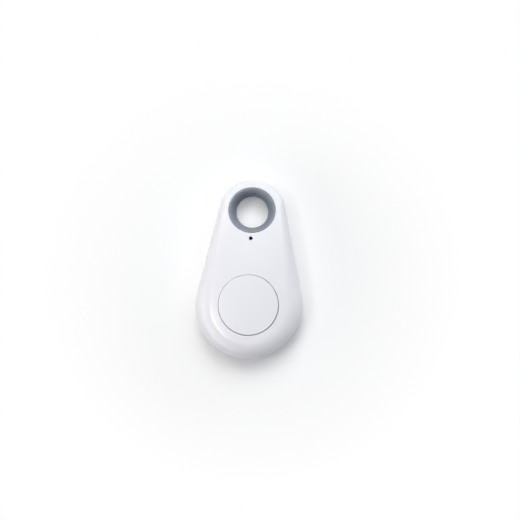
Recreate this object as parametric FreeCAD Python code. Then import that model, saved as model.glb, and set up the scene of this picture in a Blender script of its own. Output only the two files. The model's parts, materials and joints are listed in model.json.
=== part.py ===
import FreeCAD, Part
import math
import os
from FreeCAD import Vector

os.makedirs("parts", exist_ok=True)

# Overall size. Millimetres, origin on the flat rear face under the middle of the length,
# +Y towards the key ring eye, +Z out of the front face.
body_length = 52.0
body_width = 31.0
body_thickness = 11.0

# Outline: tail arc, straight leaning sides, a short shoulder arc and the head arc
eye_radius = 6.75
eye_side_rim = 3.35
eye_end_rim = 2.65
shoulder_angle = 64.0
shoulder_radius = 5.0
tail_radius = body_width / 2
tail_y = tail_radius - body_length / 2
head_radius = eye_radius + eye_side_rim
head_y = body_length / 2 - head_radius
eye_y = body_length / 2 - eye_end_rim - eye_radius

# Coin cell, the piece that the tail is built round
cell_side_room = 5.5
stack_height = 7.8
cell_radius = tail_radius - cell_side_room
cell_height = body_thickness - stack_height
cell_bottom = 1.85
can_thickness = 0.25
can_height = cell_height - 0.4
cap_radius = cell_radius - 1.15
gasket_width = 0.3

# Walls and the lap joint between the two halves
wall = 1.4
split_gap = 0.15
split_height = cell_bottom + cell_height + split_gap
lip_thickness = 0.75
tongue_gap = 0.05
tongue_height = 0.55
tongue_inset = lip_thickness + tongue_gap
tongue_top = split_height + tongue_height
catch_height = 0.12
catch_length = 4.0
catch_inset = 0.1
catch_places = (tail_y - 3.5, eye_y - 10.6)
notch_width = 5.0
notch_depth = 0.5
notch_height = 0.5

# Rear half
rear_round = 3.4
floor_thickness = 1.2
inner_chamfer = 1.4
cradle_radius = cell_radius + 0.5
cradle_width = 0.6
cradle_height = 1.2
cradle_gap = 3.6

# Button
button_rim_room = 7.0
button_offset = 0.45
button_gap = 0.15
button_skin = 1.2
button_wall = 1.2
button_flange_width = 1.05
button_flange_thickness = 0.6
button_radius = tail_radius - button_rim_room
button_flange_radius = button_radius + button_flange_width
button_hole_radius = button_radius + button_gap
button_y = tail_y - button_offset
seat_width = 1.65
seat_gap = 0.05
rib_thickness = 0.6
rib_depth = 0.7
nub_radius = 1.5

# Domed front and the flank that rolls down from it to the split
crown_y = button_y + 6.95
crown_fall = 3.75
crown_run = body_length / 2 - crown_y
crown_radius = crown_run * crown_run / crown_fall / 2
face_rim = 2.1
face_head_radius = eye_radius + 1.25
face_shoulder_angle = 74.0
face_shoulder_radius = 4.0
crease_power = 1.5
foot_power = 1.05
flank_steps = 4

# Key ring eye
throat_radius = 4.65
throat_length = 1.2
throat_middle = split_height - 0.2
eye_rim_width = 0.5
eye_slip = 0.05
funnel_steps = 4
funnel_power = 1.6
eye_flange_width = 0.7
eye_flange_height = 1.0
collar_width = 0.65
eye_hole_radius = eye_radius + eye_slip
collar_radius = eye_hole_radius + collar_width
eye_flange_radius = eye_radius + eye_flange_width
eye_flange_bottom = split_height - eye_flange_height / 2
eye_flange_top = eye_flange_bottom + eye_flange_height

# Lamp and its hole
lamp_hole_radius = 0.55
lamp_hole_gap = 1.64
lamp_y = eye_y - eye_radius - lamp_hole_gap
lamp_part_y = lamp_y - 0.56
lamp_size = (1.6, 0.8)
lamp_base_height = 0.25
lamp_lens_size = (1.1, 0.8, 0.4)

# Circuit board and the heat-staked posts that hold it
board_thickness = 0.8
board_bottom = split_height + split_gap
board_top = board_bottom + board_thickness
board_inset = 2.4
board_end_y = eye_y - 5.6
board_eye_gap = 1.15
post_radius = 1.1
pin_radius = 0.45
pin_root = 0.5
pin_hole_radius = 0.5
stake_radius = 0.75
stake_height = 0.25
board_reach = tail_radius - board_inset
post_places = (
    (board_reach - 2.9, tail_y + 9.3),
    (board_reach - 2.15, tail_y - 4.1),
)

# Push switch
switch_size = 5.2
switch_base_height = 1.0
switch_pocket_radius = 2.1
switch_pocket_depth = 0.6
switch_cover_thickness = 0.2
switch_stem_radius = 1.2
switch_stem_height = 0.6
switch_stem_gap = 0.1
switch_tab_width = 1.6
switch_tab_drop = 0.6
stem_flange_radius = 1.7
stem_flange_thickness = 0.1
stem_rest_gap = 0.02
dome_radius = 1.9
dome_rise = 0.4
dome_thickness = 0.08
lead_thickness = 0.15
lead_reach = 0.8
lead_width = 0.7
lead_inset = 0.6
switch_top = board_top + switch_base_height + switch_cover_thickness
stem_top = switch_top + switch_stem_height
nub_bottom = stem_top + seat_gap
seat_z = nub_bottom + seat_gap
flange_top = seat_z - seat_gap
flange_bottom = flange_top - button_flange_thickness

# Buzzer, in the room between the button and the lamp
buzzer_start = button_y + button_flange_radius + 0.95
buzzer_end = lamp_part_y - lamp_size[1] / 2 - 0.2
buzzer_width = 7.5
buzzer_length = buzzer_end - buzzer_start
buzzer_y = (buzzer_start + buzzer_end) / 2
buzzer_height = 2.5
buzzer_base_height = 0.3
buzzer_wall = 0.4
buzzer_hole_radius = 0.8
buzzer_disc_radius = min(buzzer_width, buzzer_length) / 2 - buzzer_wall
buzzer_disc_thickness = 0.1
buzzer_pin_width = 1.2

# Contacts
clip_width = 6.0
clip_thickness = 0.25
clip_gap = 0.15
clip_foot = 1.1
clip_side_gap = 0.2
clip_slot_x = 3.0
clip_slot_width = 0.5
clip_slot_length = 4.0
stop_gap = 0.05
stop_width = 3.0
stop_height = 1.6
contact_radius = 3.0
contact_thickness = 0.12
contact_gap = 0.02
finger_length = 2.6
finger_width = 1.2
finger_root = 0.5
finger_count = 3

# Radio chip and small parts, in the room between the cell and the eye
under_start = tail_y + cell_radius
under_room = eye_y - collar_radius - under_start
chip_y = under_start + 0.444 * under_room
chip_size = (9.9, 0.413 * under_room, 1.4)
chip_standoff = 0.1
chip_pin_pitch = 1.27
chip_pin_width = 0.4
chip_pin_reach = 0.106 * under_room
chip_pin_count = 8
chip_mark_radius = 0.35
chip_mark_depth = 0.08
chip_mark_inset = 0.8
crystal_size = (3.2, 0.265 * under_room, 0.7)
crystal_place = (7.5, under_start + 0.328 * under_room)
crystal_base_height = 0.25
crystal_base_edge = 0.2
inductor_size = (2.5, 0.212 * under_room, 1.2)
inductor_place = (-7.4, under_start + 0.328 * under_room)
chip_part_size = (1.6, 0.8, 0.6)
terminal_share = 0.2
capacitor_places = (
    (-7.6, buzzer_y + 2.3, 1),
    (-7.6, buzzer_y + 0.9, 1),
    (4.6, button_y - 6.45, 1),
    (-4.6, button_y - 6.45, 1),
    (7.4, under_start + 0.645 * under_room, -1),
)
resistor_places = (
    (-7.6, buzzer_y - 0.5, 1),
    (-7.6, buzzer_y + 3.7, 1),
    (0.0, button_y - 7.65, 1),
    (-7.4, under_start + 0.58 * under_room, -1),
)
antenna_start = (buzzer_width / 2 + 1.15, buzzer_start + 1.25)
antenna_end = (board_reach - 4.5, lamp_part_y + 1.15)
trace_width = 0.45
trace_thickness = 0.06
trace_runs = 8
pad_size = (1.2, 1.0, 0.05)
front_pads = ((-7.0, button_y + 7.55), (-9.2, button_y + 6.55), (7.0, button_y + 7.55))
rear_pads = ((-6.6, board_end_y - 2.6), (6.6, board_end_y - 2.6))

# How far a cutting solid runs past what it cuts
overrun = 1.0


def box(x0, x1, y0, y1, z0, z1):
    return Part.makeBox(x1 - x0, y1 - y0, z1 - z0, Vector(x0, y0, z0))


def block(x, y, z, size):
    length, width, height = size
    return box(x - length / 2, x + length / 2, y - width / 2, y + width / 2, z, z + height)


def under_board(x, y, size, gap=0.0):
    return block(x, y, board_bottom - gap - size[2], size)


def rod(radius, x, y, z0, z1):
    return Part.makeCylinder(radius, z1 - z0, Vector(x, y, z0))


def turned(profile, x, y):
    points = [Vector(radius, 0, z) for radius, z in profile]
    face = Part.Face(Part.makePolygon([*points, points[0]]))
    solid = face.revolve(Vector(0, 0, 0), Vector(0, 0, 1), 360)
    solid.translate(Vector(x, y, 0))
    return solid


def fused(shapes):
    first, *others = shapes
    return first.fuse(others).removeSplitter()


def save(name, shape):
    if not shape.isValid():
        raise ValueError(name + " is not a valid solid")
    shape.exportStep("parts/" + name + ".step")


# Outline
def on_arc(x, y, radius, start, end):
    def point(t):
        angle = start + (end - start) * t
        return x + radius * math.cos(angle), y + radius * math.sin(angle)

    return point, abs(end - start)


def on_line(start, end):
    def point(t):
        return start[0] + (end[0] - start[0]) * t, start[1] + (end[1] - start[1]) * t

    return point, 0.0


def mirrored(run, bend):
    def point(t):
        x, y = run(1 - t)
        return -x, y

    return point, bend


def outline_runs(form):
    # The side line touches the tail circle and passes through the shoulder point on the head circle.
    angle = math.radians(form["shoulder_angle"])
    tail, head, shoulder = form["tail_radius"], form["head_radius"], form["shoulder_radius"]
    across = head * math.sin(angle)
    along = form["head_y"] + head * math.cos(angle) - form["tail_y"]
    lean = math.asin(tail / math.hypot(across, along)) - math.atan2(across, along)
    cos, sin = math.cos(lean), math.sin(lean)
    # The shoulder arc touches the side line and the head circle from inside.
    base_x = cos * (tail - shoulder)
    base_y = form["tail_y"] + sin * (tail - shoulder) - form["head_y"]
    half = sin * base_x - cos * base_y
    slide = half + math.sqrt(half ** 2 - base_x ** 2 - base_y ** 2 + (head - shoulder) ** 2)
    x = base_x - slide * sin
    y = base_y + slide * cos
    turn = math.atan2(y, x)
    side_start = (cos * tail, form["tail_y"] + sin * tail)
    side_end = (x + cos * shoulder, form["head_y"] + y + sin * shoulder)
    right = [
        on_arc(0, form["tail_y"], tail, -math.pi / 2, lean),
        on_line(side_start, side_end),
        on_arc(x, form["head_y"] + y, shoulder, lean, turn),
        on_arc(0, form["head_y"], head, turn, math.pi / 2),
    ]
    return [*right, *(mirrored(*run) for run in reversed(right))]


def body_form(inset):
    return {
        "tail_radius": tail_radius - inset,
        "tail_y": tail_y,
        "head_radius": head_radius - inset,
        "head_y": head_y,
        "shoulder_angle": shoulder_angle,
        "shoulder_radius": shoulder_radius - inset,
    }


def face_form():
    return {
        "tail_radius": button_radius + button_gap + face_rim,
        "tail_y": button_y,
        "head_radius": face_head_radius,
        "head_y": eye_y,
        "shoulder_angle": face_shoulder_angle,
        "shoulder_radius": face_shoulder_radius,
    }


def flat_wire(inset, z):
    edges = []
    for run, bend in outline_runs(body_form(inset)):
        start, middle, end = (Vector(*run(t), z) for t in (0, 0.5, 1))
        curve = Part.Arc(start, middle, end) if bend else Part.LineSegment(start, end)
        edges.append(curve.toShape())
    return Part.Wire(edges)


def slab(inset, z0, z1):
    return Part.Face(flat_wire(inset, z0)).extrude(Vector(0, 0, z1 - z0))


# Domed forms
def crown_ball(drop):
    centre = Vector(0, crown_y, body_thickness - crown_radius)
    return Part.makeSphere(crown_radius - drop, centre, Vector(1, 0, 0), -90, 90, 360)


def crown_height(x, y, drop):
    reach = x ** 2 + (y - crown_y) ** 2
    return body_thickness - crown_radius + math.sqrt((crown_radius - drop) ** 2 - reach)


def raised_wire(form, drop, rise):
    # Each run of the outline is one cubic curve, lifted by its share of the way to the crown.
    def place(run, t):
        x, y = run(t)
        return Vector(x, y, split_height + rise * (crown_height(x, y, drop) - split_height))

    nudge = 0.0001
    edges = []
    for run, bend in outline_runs(form):
        reach = 4 / 3 * math.tan(bend / 4) / bend if bend else 1 / 3
        start, end = place(run, 0), place(run, 1)
        leave = (place(run, nudge) - start) * (reach / nudge)
        arrive = (end - place(run, 1 - nudge)) * (reach / nudge)
        curve = Part.BezierCurve()
        curve.setPoles([start, start + leave, end - arrive, end])
        edges.append(curve.toShape())
    return Part.Wire(edges)


def front_form(inset, steps, ruled):
    base, face = body_form(inset), face_form()
    wires = []
    for step in range(steps + 1):
        turn = math.radians(90 * step / steps)
        lift = math.sin(turn) ** foot_power
        share = 1 - abs(math.cos(turn)) ** crease_power
        form = {key: value + share * (face[key] - value) for key, value in base.items()}
        wires.append(raised_wire(form, inset, lift))
    crown = Part.Face(crown_ball(inset).Faces[0].Surface, wires[-1])
    crown.validate()
    shell = Part.makeShell([*Part.makeLoft(wires, False, ruled).Faces, crown, Part.Face(wires[0])])
    shell.sewShape(0.02)
    solid = Part.Solid(shell)
    if solid.Volume < 0:
        solid.reverse()
    return solid


# Housing halves
def rear_cover():
    low = split_height - notch_height
    outer = slab(0, 0, split_height)
    outer = outer.makeFillet(rear_round, low_edges(outer))
    hollow = slab(wall, floor_thickness, tongue_top)
    hollow = hollow.makeChamfer(inner_chamfer, low_edges(hollow))
    hollow = hollow.cut(rod(collar_radius, 0, eye_y, 0, eye_flange_bottom - eye_slip))
    reach = cradle_radius + cradle_width
    cradle = rod(reach, 0, tail_y, 0, floor_thickness + cradle_height)
    cradle = cradle.cut(rod(cradle_radius, 0, tail_y, 0, body_thickness))
    cradle = cradle.cut(box(-reach, reach, tail_y - cradle_gap, tail_y + cradle_gap, 0, body_thickness))
    cradle = cradle.cut(box(-cradle_gap, cradle_gap, tail_y, tail_y + reach, 0, body_thickness))
    tongue = slab(tongue_inset, low, tongue_top)
    bump = slab(tongue_inset - catch_height, low, tongue_top - catch_inset)
    catches = [bump.common(place) for place in catch_boxes()]
    notch = slab(-overrun, low, split_height).cut(slab(notch_depth, low, split_height))
    notch = notch.common(box(-notch_width / 2, notch_width / 2, -body_length, tail_y, 0, body_thickness))
    shape = fused([outer, tongue, *catches]).cut(hollow.cut(cradle)).cut(notch)
    return shape.cut(rod(eye_hole_radius, 0, eye_y, -overrun, body_thickness))


def both_sides(places):
    return [*places, *((-x, y) for x, y in places)]


def catch_boxes():
    half = catch_length / 2
    boxes = []
    for y in catch_places:
        boxes.append(box(-body_width, 0, y - half, y + half, 0, body_thickness))
        boxes.append(box(0, body_width, y - half, y + half, 0, body_thickness))
    return boxes


def low_edges(solid):
    bottom = solid.BoundBox.ZMin + 0.001
    return [edge for edge in solid.Edges if edge.BoundBox.ZMax < bottom]


def front_cover():
    rebate_top = tongue_top + tongue_gap
    hollow = front_form(wall, 3, True).fuse(slab(lip_thickness, split_height, rebate_top))
    recess = slab(lip_thickness - catch_height, split_height, rebate_top)
    hollow = hollow.fuse([recess.common(place) for place in catch_boxes()])
    hollow = hollow.cut(rod(collar_radius, 0, eye_y, eye_flange_top + eye_slip, body_thickness))
    hollow = hollow.cut(rod(button_hole_radius + seat_width, 0, button_y, seat_z, body_thickness))
    for x, y in both_sides(post_places):
        hollow = hollow.cut(rod(post_radius, x, y, board_top, body_thickness))
    shape = front_form(0, flank_steps, False).cut(hollow)
    top = body_thickness + overrun
    holes = [
        rod(eye_hole_radius, 0, eye_y, 0, top),
        rod(button_hole_radius, 0, button_y, 0, top),
        rod(lamp_hole_radius, 0, lamp_y, 0, top),
    ]
    pins = []
    for x, y in both_sides(post_places):
        pins.append(rod(pin_radius, x, y, board_bottom - stake_height, board_top + pin_root))
        pins.append(rod(stake_radius, x, y, board_bottom - stake_height, board_bottom))
    return shape.cut(holes).fuse(pins)


save("rear_cover", rear_cover())
save("front_cover", front_cover())


# Key ring eye
def tilted_circle(radius, z, slope):
    circle = Part.Circle(Vector(0, eye_y, z), Vector(0, slope, 1), radius)
    return Part.Wire(circle.toShape())


def ring_grommet():
    throat_top = throat_middle + throat_length / 2
    throat_bottom = throat_middle - throat_length / 2
    rim_radius = eye_radius - eye_rim_width
    rim_z = crown_height(0, eye_y, 0) - rim_radius ** 2 / (2 * crown_radius)
    slope = (eye_y - crown_y) / crown_radius
    front_wires = []
    rear_profile = [(0, 0), (0, throat_bottom)]
    for step in range(funnel_steps + 1):
        turn = math.radians(90 * step / funnel_steps)
        radius = rim_radius + (throat_radius - rim_radius) * abs(math.cos(turn)) ** funnel_power
        lift = math.sin(turn) ** funnel_power
        front_wires.append(tilted_circle(radius, throat_top + (rim_z - throat_top) * lift, slope * lift))
        rear_profile.append((radius, throat_bottom * (1 - lift)))
    front_funnel = Part.makeLoft(front_wires, True, True)
    mouth = Part.Face(front_wires[-1]).extrude(Vector(0, 0, body_thickness))
    throat = rod(throat_radius, 0, eye_y, throat_bottom, throat_top)
    shape = rod(eye_radius, 0, eye_y, 0, body_thickness + overrun).common(crown_ball(0))
    shape = shape.fuse(rod(eye_flange_radius, 0, eye_y, eye_flange_bottom, eye_flange_top))
    return shape.cut([front_funnel, mouth, turned(rear_profile, 0, eye_y), throat])


save("ring_grommet", ring_grommet())


# Button and the push switch under it
def button_cap():
    shape = rod(button_radius, 0, button_y, flange_bottom, body_thickness + overrun).common(crown_ball(0))
    shape = shape.fuse(rod(button_flange_radius, 0, button_y, flange_bottom, flange_top))
    hollow_radius = button_radius - button_wall
    hollow = rod(hollow_radius, 0, button_y, flange_bottom, body_thickness).common(crown_ball(button_skin))
    under = crown_height(0, button_y, button_skin) - rib_depth
    half = rib_thickness / 2
    far = hollow_radius + rib_thickness
    ribs = [
        box(-far, far, button_y - half, button_y + half, under, body_thickness),
        box(-half, half, button_y - far, button_y + far, under, body_thickness),
        rod(nub_radius, 0, button_y, nub_bottom, body_thickness),
    ]
    return shape.cut(hollow.cut(fused(ribs)))


def switch_base():
    top = board_top + switch_base_height
    shape = block(0, button_y, board_top, (switch_size, switch_size, switch_base_height))
    return shape.cut(rod(switch_pocket_radius, 0, button_y, top - switch_pocket_depth, top))


def switch_cover():
    bottom = board_top + switch_base_height
    shape = block(0, button_y, bottom, (switch_size, switch_size, switch_cover_thickness))
    thickness = switch_cover_thickness
    tabs = []
    for side in (-1, 1):
        x = side * (switch_size + thickness) / 2
        size = (thickness, switch_tab_width, switch_tab_drop + thickness)
        tabs.append(block(x, button_y, bottom - switch_tab_drop, size))
    hole = rod(switch_stem_radius + switch_stem_gap, 0, button_y, 0, body_thickness)
    return fused([shape, *tabs]).cut(hole)


def switch_legs():
    legs = []
    for side_x in (-1, 1):
        for side_y in (-1, 1):
            x = side_x * (switch_size / 2 + lead_reach / 2)
            y = button_y + side_y * (switch_size / 2 - lead_inset)
            legs.append(block(x, y, board_top, (lead_reach, lead_width, lead_thickness)))
    return Part.makeCompound(legs)


def switch_dome():
    # A pressed disc of sheet metal that snaps flat under the stem.
    foot = board_top + switch_base_height - switch_pocket_depth
    crest = foot + dome_rise
    flat = dome_radius / 3
    profile = [
        (0, crest - dome_thickness),
        (flat, crest - dome_thickness),
        (dome_radius - dome_thickness, foot),
        (dome_radius, foot),
        (flat, crest),
        (0, crest),
    ]
    return turned(profile, 0, button_y)


def switch_stem():
    dome_top = board_top + switch_base_height - switch_pocket_depth + dome_rise
    shape = rod(switch_stem_radius, 0, button_y, dome_top + stem_rest_gap, stem_top)
    flange_z = dome_top + stem_rest_gap
    return shape.fuse(rod(stem_flange_radius, 0, button_y, flange_z, flange_z + stem_flange_thickness))


save("button_cap", button_cap())
save("switch_base", switch_base())
save("switch_cover", switch_cover())
save("switch_legs", switch_legs())
save("switch_dome", switch_dome())
save("switch_stem", switch_stem().removeSplitter())


# Circuit board
def main_board():
    shape = slab(board_inset, board_bottom, board_top)
    shape = shape.cut(rod(eye_flange_radius + board_eye_gap, 0, eye_y, 0, body_thickness))
    shape = shape.cut(box(-body_width, body_width, board_end_y, body_length, 0, body_thickness))
    return shape.cut([rod(pin_hole_radius, x, y, 0, body_thickness) for x, y in both_sides(post_places)])


def antenna_trace():
    # A track that runs to and fro across the right horn of the board.
    left, first = antenna_start
    right, last = antenna_end
    step = (last - first) / trace_runs
    bars = []
    for run in range(trace_runs + 1):
        y = first + run * step
        bars.append((left, right, y, y + trace_width))
        x = right - trace_width if run % 2 else left
        if run < trace_runs:
            bars.append((x, x + trace_width, y, y + step + trace_width))
    return fused([box(*bar, board_top, board_top + trace_thickness) for bar in bars])


def board_pads():
    pads = [block(x, y, board_top, pad_size) for x, y in front_pads]
    pads += [under_board(x, y, pad_size) for x, y in rear_pads]
    return Part.makeCompound(pads)


save("main_board", main_board())
save("antenna_trace", antenna_trace())
save("board_pads", board_pads())


# Buzzer
def buzzer_case():
    bottom = board_top + buzzer_base_height
    height = buzzer_height - buzzer_base_height
    shape = block(0, buzzer_y, bottom, (buzzer_width, buzzer_length, height))
    inner = (buzzer_width - 2 * buzzer_wall, buzzer_length - 2 * buzzer_wall, height - buzzer_wall)
    shape = shape.cut(block(0, buzzer_y, bottom, inner))
    hole_y = buzzer_y + buzzer_length / 4
    return shape.cut(rod(buzzer_hole_radius, -buzzer_width / 4, hole_y, bottom, body_thickness))


def buzzer_pins():
    pins = []
    for side in (-1, 1):
        x = side * (buzzer_width / 2 + lead_reach / 2)
        pins.append(block(x, buzzer_y, board_top, (lead_reach, buzzer_pin_width, lead_thickness)))
    return Part.makeCompound(pins)


disc_z = board_top + buzzer_height - 2 * buzzer_wall
base_size = (buzzer_width, buzzer_length, buzzer_base_height)
save("buzzer_case", buzzer_case())
save("buzzer_base", block(0, buzzer_y, board_top, base_size))
save("buzzer_disc", rod(buzzer_disc_radius, 0, buzzer_y, disc_z, disc_z + buzzer_disc_thickness))
save("buzzer_pins", buzzer_pins())


# Lamp
save("lamp_base", block(0, lamp_part_y, board_top, (*lamp_size, lamp_base_height)))
save("lamp_lens", block(0, lamp_part_y, board_top + lamp_base_height, lamp_lens_size))


# Radio chip, crystal and the other small parts
def chip_pins():
    pins = []
    level = board_bottom - chip_standoff - chip_size[2] / 2
    for side in (-1, 1):
        for index in range(chip_pin_count):
            x = (index - (chip_pin_count - 1) / 2) * chip_pin_pitch
            inner = chip_y + side * chip_size[1] / 2
            bend = inner + side * chip_pin_reach / 2
            outer = inner + side * chip_pin_reach
            parts = [
                (inner, bend + side * lead_thickness, level, level + lead_thickness),
                (bend, bend + side * lead_thickness, level, board_bottom),
                (bend, outer, board_bottom - lead_thickness, board_bottom),
            ]
            half = chip_pin_width / 2
            bars = [box(x - half, x + half, min(y0, y1), max(y0, y1), z0, z1) for y0, y1, z0, z1 in parts]
            pins.append(fused(bars))
    return Part.makeCompound(pins)


def chip_parts(places, x_share):
    # Bodies and end terminals of the two-ended parts; x_share picks the middle or the ends.
    length, width, height = chip_part_size
    start, end = x_share
    pieces = []
    for x, y, side in places:
        z = board_top if side > 0 else board_bottom - height
        pieces.append(box(x + start * length, x + end * length, y - width / 2, y + width / 2, z, z + height))
    return pieces


def bluetooth_chip():
    length, width, height = chip_size
    shape = under_board(0, chip_y, chip_size, chip_standoff)
    bottom = board_bottom - chip_standoff - height
    mark_x = chip_mark_inset - length / 2
    mark_y = chip_y - width / 2 + chip_mark_inset
    return shape.cut(rod(chip_mark_radius, mark_x, mark_y, bottom, bottom + chip_mark_depth))


def crystal_can():
    length, width, height = crystal_size
    size = (length - 2 * crystal_base_edge, width - 2 * crystal_base_edge, height - crystal_base_height)
    return under_board(*crystal_place, size, crystal_base_height)


middle = (terminal_share - 0.5, 0.5 - terminal_share)
chip_part_places = capacitor_places + resistor_places
chip_part_ends = [
    *chip_parts(chip_part_places, (-0.5, middle[0])),
    *chip_parts(chip_part_places, (middle[1], 0.5)),
]
save("bluetooth_chip", bluetooth_chip())
save("chip_pins", chip_pins())
save("crystal_base", under_board(*crystal_place, (*crystal_size[:2], crystal_base_height)))
save("crystal_can", crystal_can())
save("inductor_body", under_board(*inductor_place, inductor_size))
save("capacitor_bodies", Part.makeCompound(chip_parts(capacitor_places, middle)))
save("resistor_bodies", Part.makeCompound(chip_parts(resistor_places, middle)))
save("chip_terminals", Part.makeCompound(chip_part_ends))


# Coin cell
def cell_can():
    top = cell_bottom + can_height
    inner = cell_radius - can_thickness
    lip = cap_radius + gasket_width
    profile = [
        (0, cell_bottom),
        (cell_radius, cell_bottom),
        (cell_radius, top),
        (lip, top),
        (lip, top - can_thickness),
        (inner, top - can_thickness),
        (inner, cell_bottom + can_thickness),
        (0, cell_bottom + can_thickness),
    ]
    return turned(profile, 0, tail_y)


def cell_gasket():
    profile = [
        (cap_radius, cell_bottom + can_thickness),
        (cap_radius + gasket_width, cell_bottom + can_thickness),
        (cap_radius + gasket_width, cell_bottom + can_height),
        (cap_radius, cell_bottom + can_height),
    ]
    return turned(profile, 0, tail_y)


def cell_pellet():
    foot = cell_bottom + can_thickness
    return rod(cap_radius - can_thickness, 0, tail_y, foot, cell_bottom + cell_height - can_thickness)


def cell_cap():
    top = cell_bottom + cell_height
    outer = rod(cap_radius, 0, tail_y, cell_bottom + can_thickness, top)
    return outer.cut(rod(cap_radius - can_thickness, 0, tail_y, 0, top - can_thickness))


save("cell_can", cell_can())
save("cell_gasket", cell_gasket())
save("cell_pellet", cell_pellet())
save("cell_cap", cell_cap())


# Contacts
def battery_clip():
    strap_top = cell_bottom - clip_gap
    strap_bottom = strap_top - clip_thickness
    inner = cell_radius + clip_side_gap
    outer = inner + clip_thickness
    half = clip_width / 2
    near = tail_y + cell_radius + stop_gap
    bars = [box(-outer, outer, tail_y - half, tail_y + half, strap_bottom, strap_top)]
    for side in (-1, 1):
        leg = sorted((side * inner, side * outer))
        foot = sorted((side * inner, side * (outer + clip_foot)))
        bars.append(box(*leg, tail_y - half, tail_y + half, strap_bottom, board_bottom))
        bars.append(box(*foot, tail_y - half, tail_y + half, board_bottom - clip_thickness, board_bottom))
    arm = stop_width / 2
    bars.append(box(-arm, arm, tail_y, near + clip_thickness, strap_bottom, strap_top))
    bars.append(box(-arm, arm, near, near + clip_thickness, strap_bottom, strap_bottom + stop_height))
    slots = []
    for side in (-1, 1):
        slot = (clip_slot_width, clip_slot_length, strap_top)
        slots.append(block(side * clip_slot_x, tail_y, 0, slot))
    return fused(bars).cut(slots)


def negative_contact():
    # A round plate under the board with three fingers bent towards the cell.
    bottom = board_bottom - contact_thickness
    shape = rod(contact_radius, 0, tail_y, bottom, board_bottom)
    tip = cell_bottom + cell_height + contact_gap
    fingers = []
    for index in range(finger_count):
        profile = [
            Vector(contact_radius - finger_root, -finger_width / 2, bottom),
            Vector(contact_radius - finger_root, -finger_width / 2, board_bottom),
            Vector(contact_radius, -finger_width / 2, board_bottom),
            Vector(contact_radius + finger_length, -finger_width / 2, tip + contact_thickness),
            Vector(contact_radius + finger_length, -finger_width / 2, tip),
            Vector(contact_radius, -finger_width / 2, bottom),
        ]
        finger = Part.Face(Part.makePolygon([*profile, profile[0]])).extrude(Vector(0, finger_width, 0))
        finger.rotate(Vector(0, 0, 0), Vector(0, 0, 1), 90 + 360 / finger_count * index)
        finger.translate(Vector(0, tail_y, 0))
        fingers.append(finger)
    return fused([shape, *fingers])


save("battery_clip", battery_clip())
save("negative_contact", negative_contact())
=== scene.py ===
import bpy
import bmesh
import json
import math
from mathutils import Matrix, Vector, geometry


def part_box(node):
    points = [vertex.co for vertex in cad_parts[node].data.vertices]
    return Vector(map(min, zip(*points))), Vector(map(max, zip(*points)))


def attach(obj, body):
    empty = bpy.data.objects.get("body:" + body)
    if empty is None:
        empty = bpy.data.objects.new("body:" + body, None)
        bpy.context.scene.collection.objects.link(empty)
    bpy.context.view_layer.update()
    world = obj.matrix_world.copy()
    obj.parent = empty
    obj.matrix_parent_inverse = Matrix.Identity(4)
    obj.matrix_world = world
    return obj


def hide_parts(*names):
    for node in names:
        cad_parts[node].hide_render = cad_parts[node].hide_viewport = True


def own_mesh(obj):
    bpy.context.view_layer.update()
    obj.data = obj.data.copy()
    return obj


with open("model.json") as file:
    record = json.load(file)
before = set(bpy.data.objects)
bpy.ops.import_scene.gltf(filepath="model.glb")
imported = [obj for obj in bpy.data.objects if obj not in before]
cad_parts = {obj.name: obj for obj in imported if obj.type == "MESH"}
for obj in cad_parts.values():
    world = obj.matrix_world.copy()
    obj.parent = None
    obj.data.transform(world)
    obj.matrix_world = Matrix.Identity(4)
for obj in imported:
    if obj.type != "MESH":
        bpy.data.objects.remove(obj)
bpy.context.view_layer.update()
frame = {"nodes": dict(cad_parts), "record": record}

nodes = frame["nodes"]
mm = 0.001
print("frame loaded:", len(nodes), "nodes")

# the tear-drop housing, millimetres, as it is moulded
housing = {
    "length": 52.0,
    "thickness": 11.0,
    "split": 5.2,
    "tailRadius": 15.5,
    "headRadius": 10.1,
    "shoulderAngle": 64.0,
    "shoulderRadius": 5.0,
    "crownRadius": 120.0,
    "crownY": -4.0,
    "sideFall": 0.004,
    "wall": 1.4,
    "faceRim": 2.1,
    "faceHeadRadius": 8.0,
    "faceShoulderAngle": 74.0,
    "faceShoulderRadius": 4.0,
    "creasePower": 1.15,
    "footPower": 1.05,
    "flankStart": 2,
    "flankRings": 26,
    "innerRings": 12,
    "innerLow": 16,
    "faceGrid": 0.9,
    "innerGrid": 1.2,
    "outlineSteps": (52, 22, 12, 34),  # tail, side, shoulder and head
    "lip": 0.75,
    "rebate": 0.6,
    "catchDepth": 0.12,
    "catchLength": 5.2,
    "catchPlaces": (-14.0, 6.0),
    "catchSide": 5,
    "splitEdge": 0.14,
    "splitSteps": 4,
}
eye = {
    "radius": 6.75,
    "endRim": 2.65,
    "slip": 0.05,
    "throat": 4.65,
    "throatLength": 1.2,
    "throatMiddle": 4.8,
    "funnelPower": 1.6,
    "funnelSteps": 16,
    "rim": 0.62,
    "rimRound": 0.14,
    "lipRound": 0.46,
    "lipSteps": 7,
    "foot": ((0.3, 0.0), (0.1, 0.1), (0.0, 0.3)),
    "sink": 0.04,
    "flange": 7.45,
    "flangeLow": 4.7,
    "flangeTop": 5.7,
    "collar": 7.45,
    "edge": 0.16,
    "segments": 144,
}
button = {
    "radius": 8.5,
    "gap": 0.15,
    "offset": 0.45,
    "shift": (-0.05, 0.07),
    "edge": 0.12,
    "skin": 1.2,
    "wall": 1.2,
    "flange": 9.55,
    "flangeLow": 7.4,
    "flangeTop": 8.0,
    "seat": 8.05,
    "seatWidth": 1.65,
    "faceRings": 16,
    "underRings": 6,
    "arms": 4,
    "rib": 0.6,
    "ribShare": 0.49,
    "ribBite": 0.1,
    "ribDepth": 0.7,
    "ribRoot": 0.3,
    "nub": 1.5,
    "nubBite": 0.05,
    "segments": 144,
}
lamp = {"radius": 0.55, "gap": 1.64, "edge": 0.1, "segments": 32}

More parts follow.
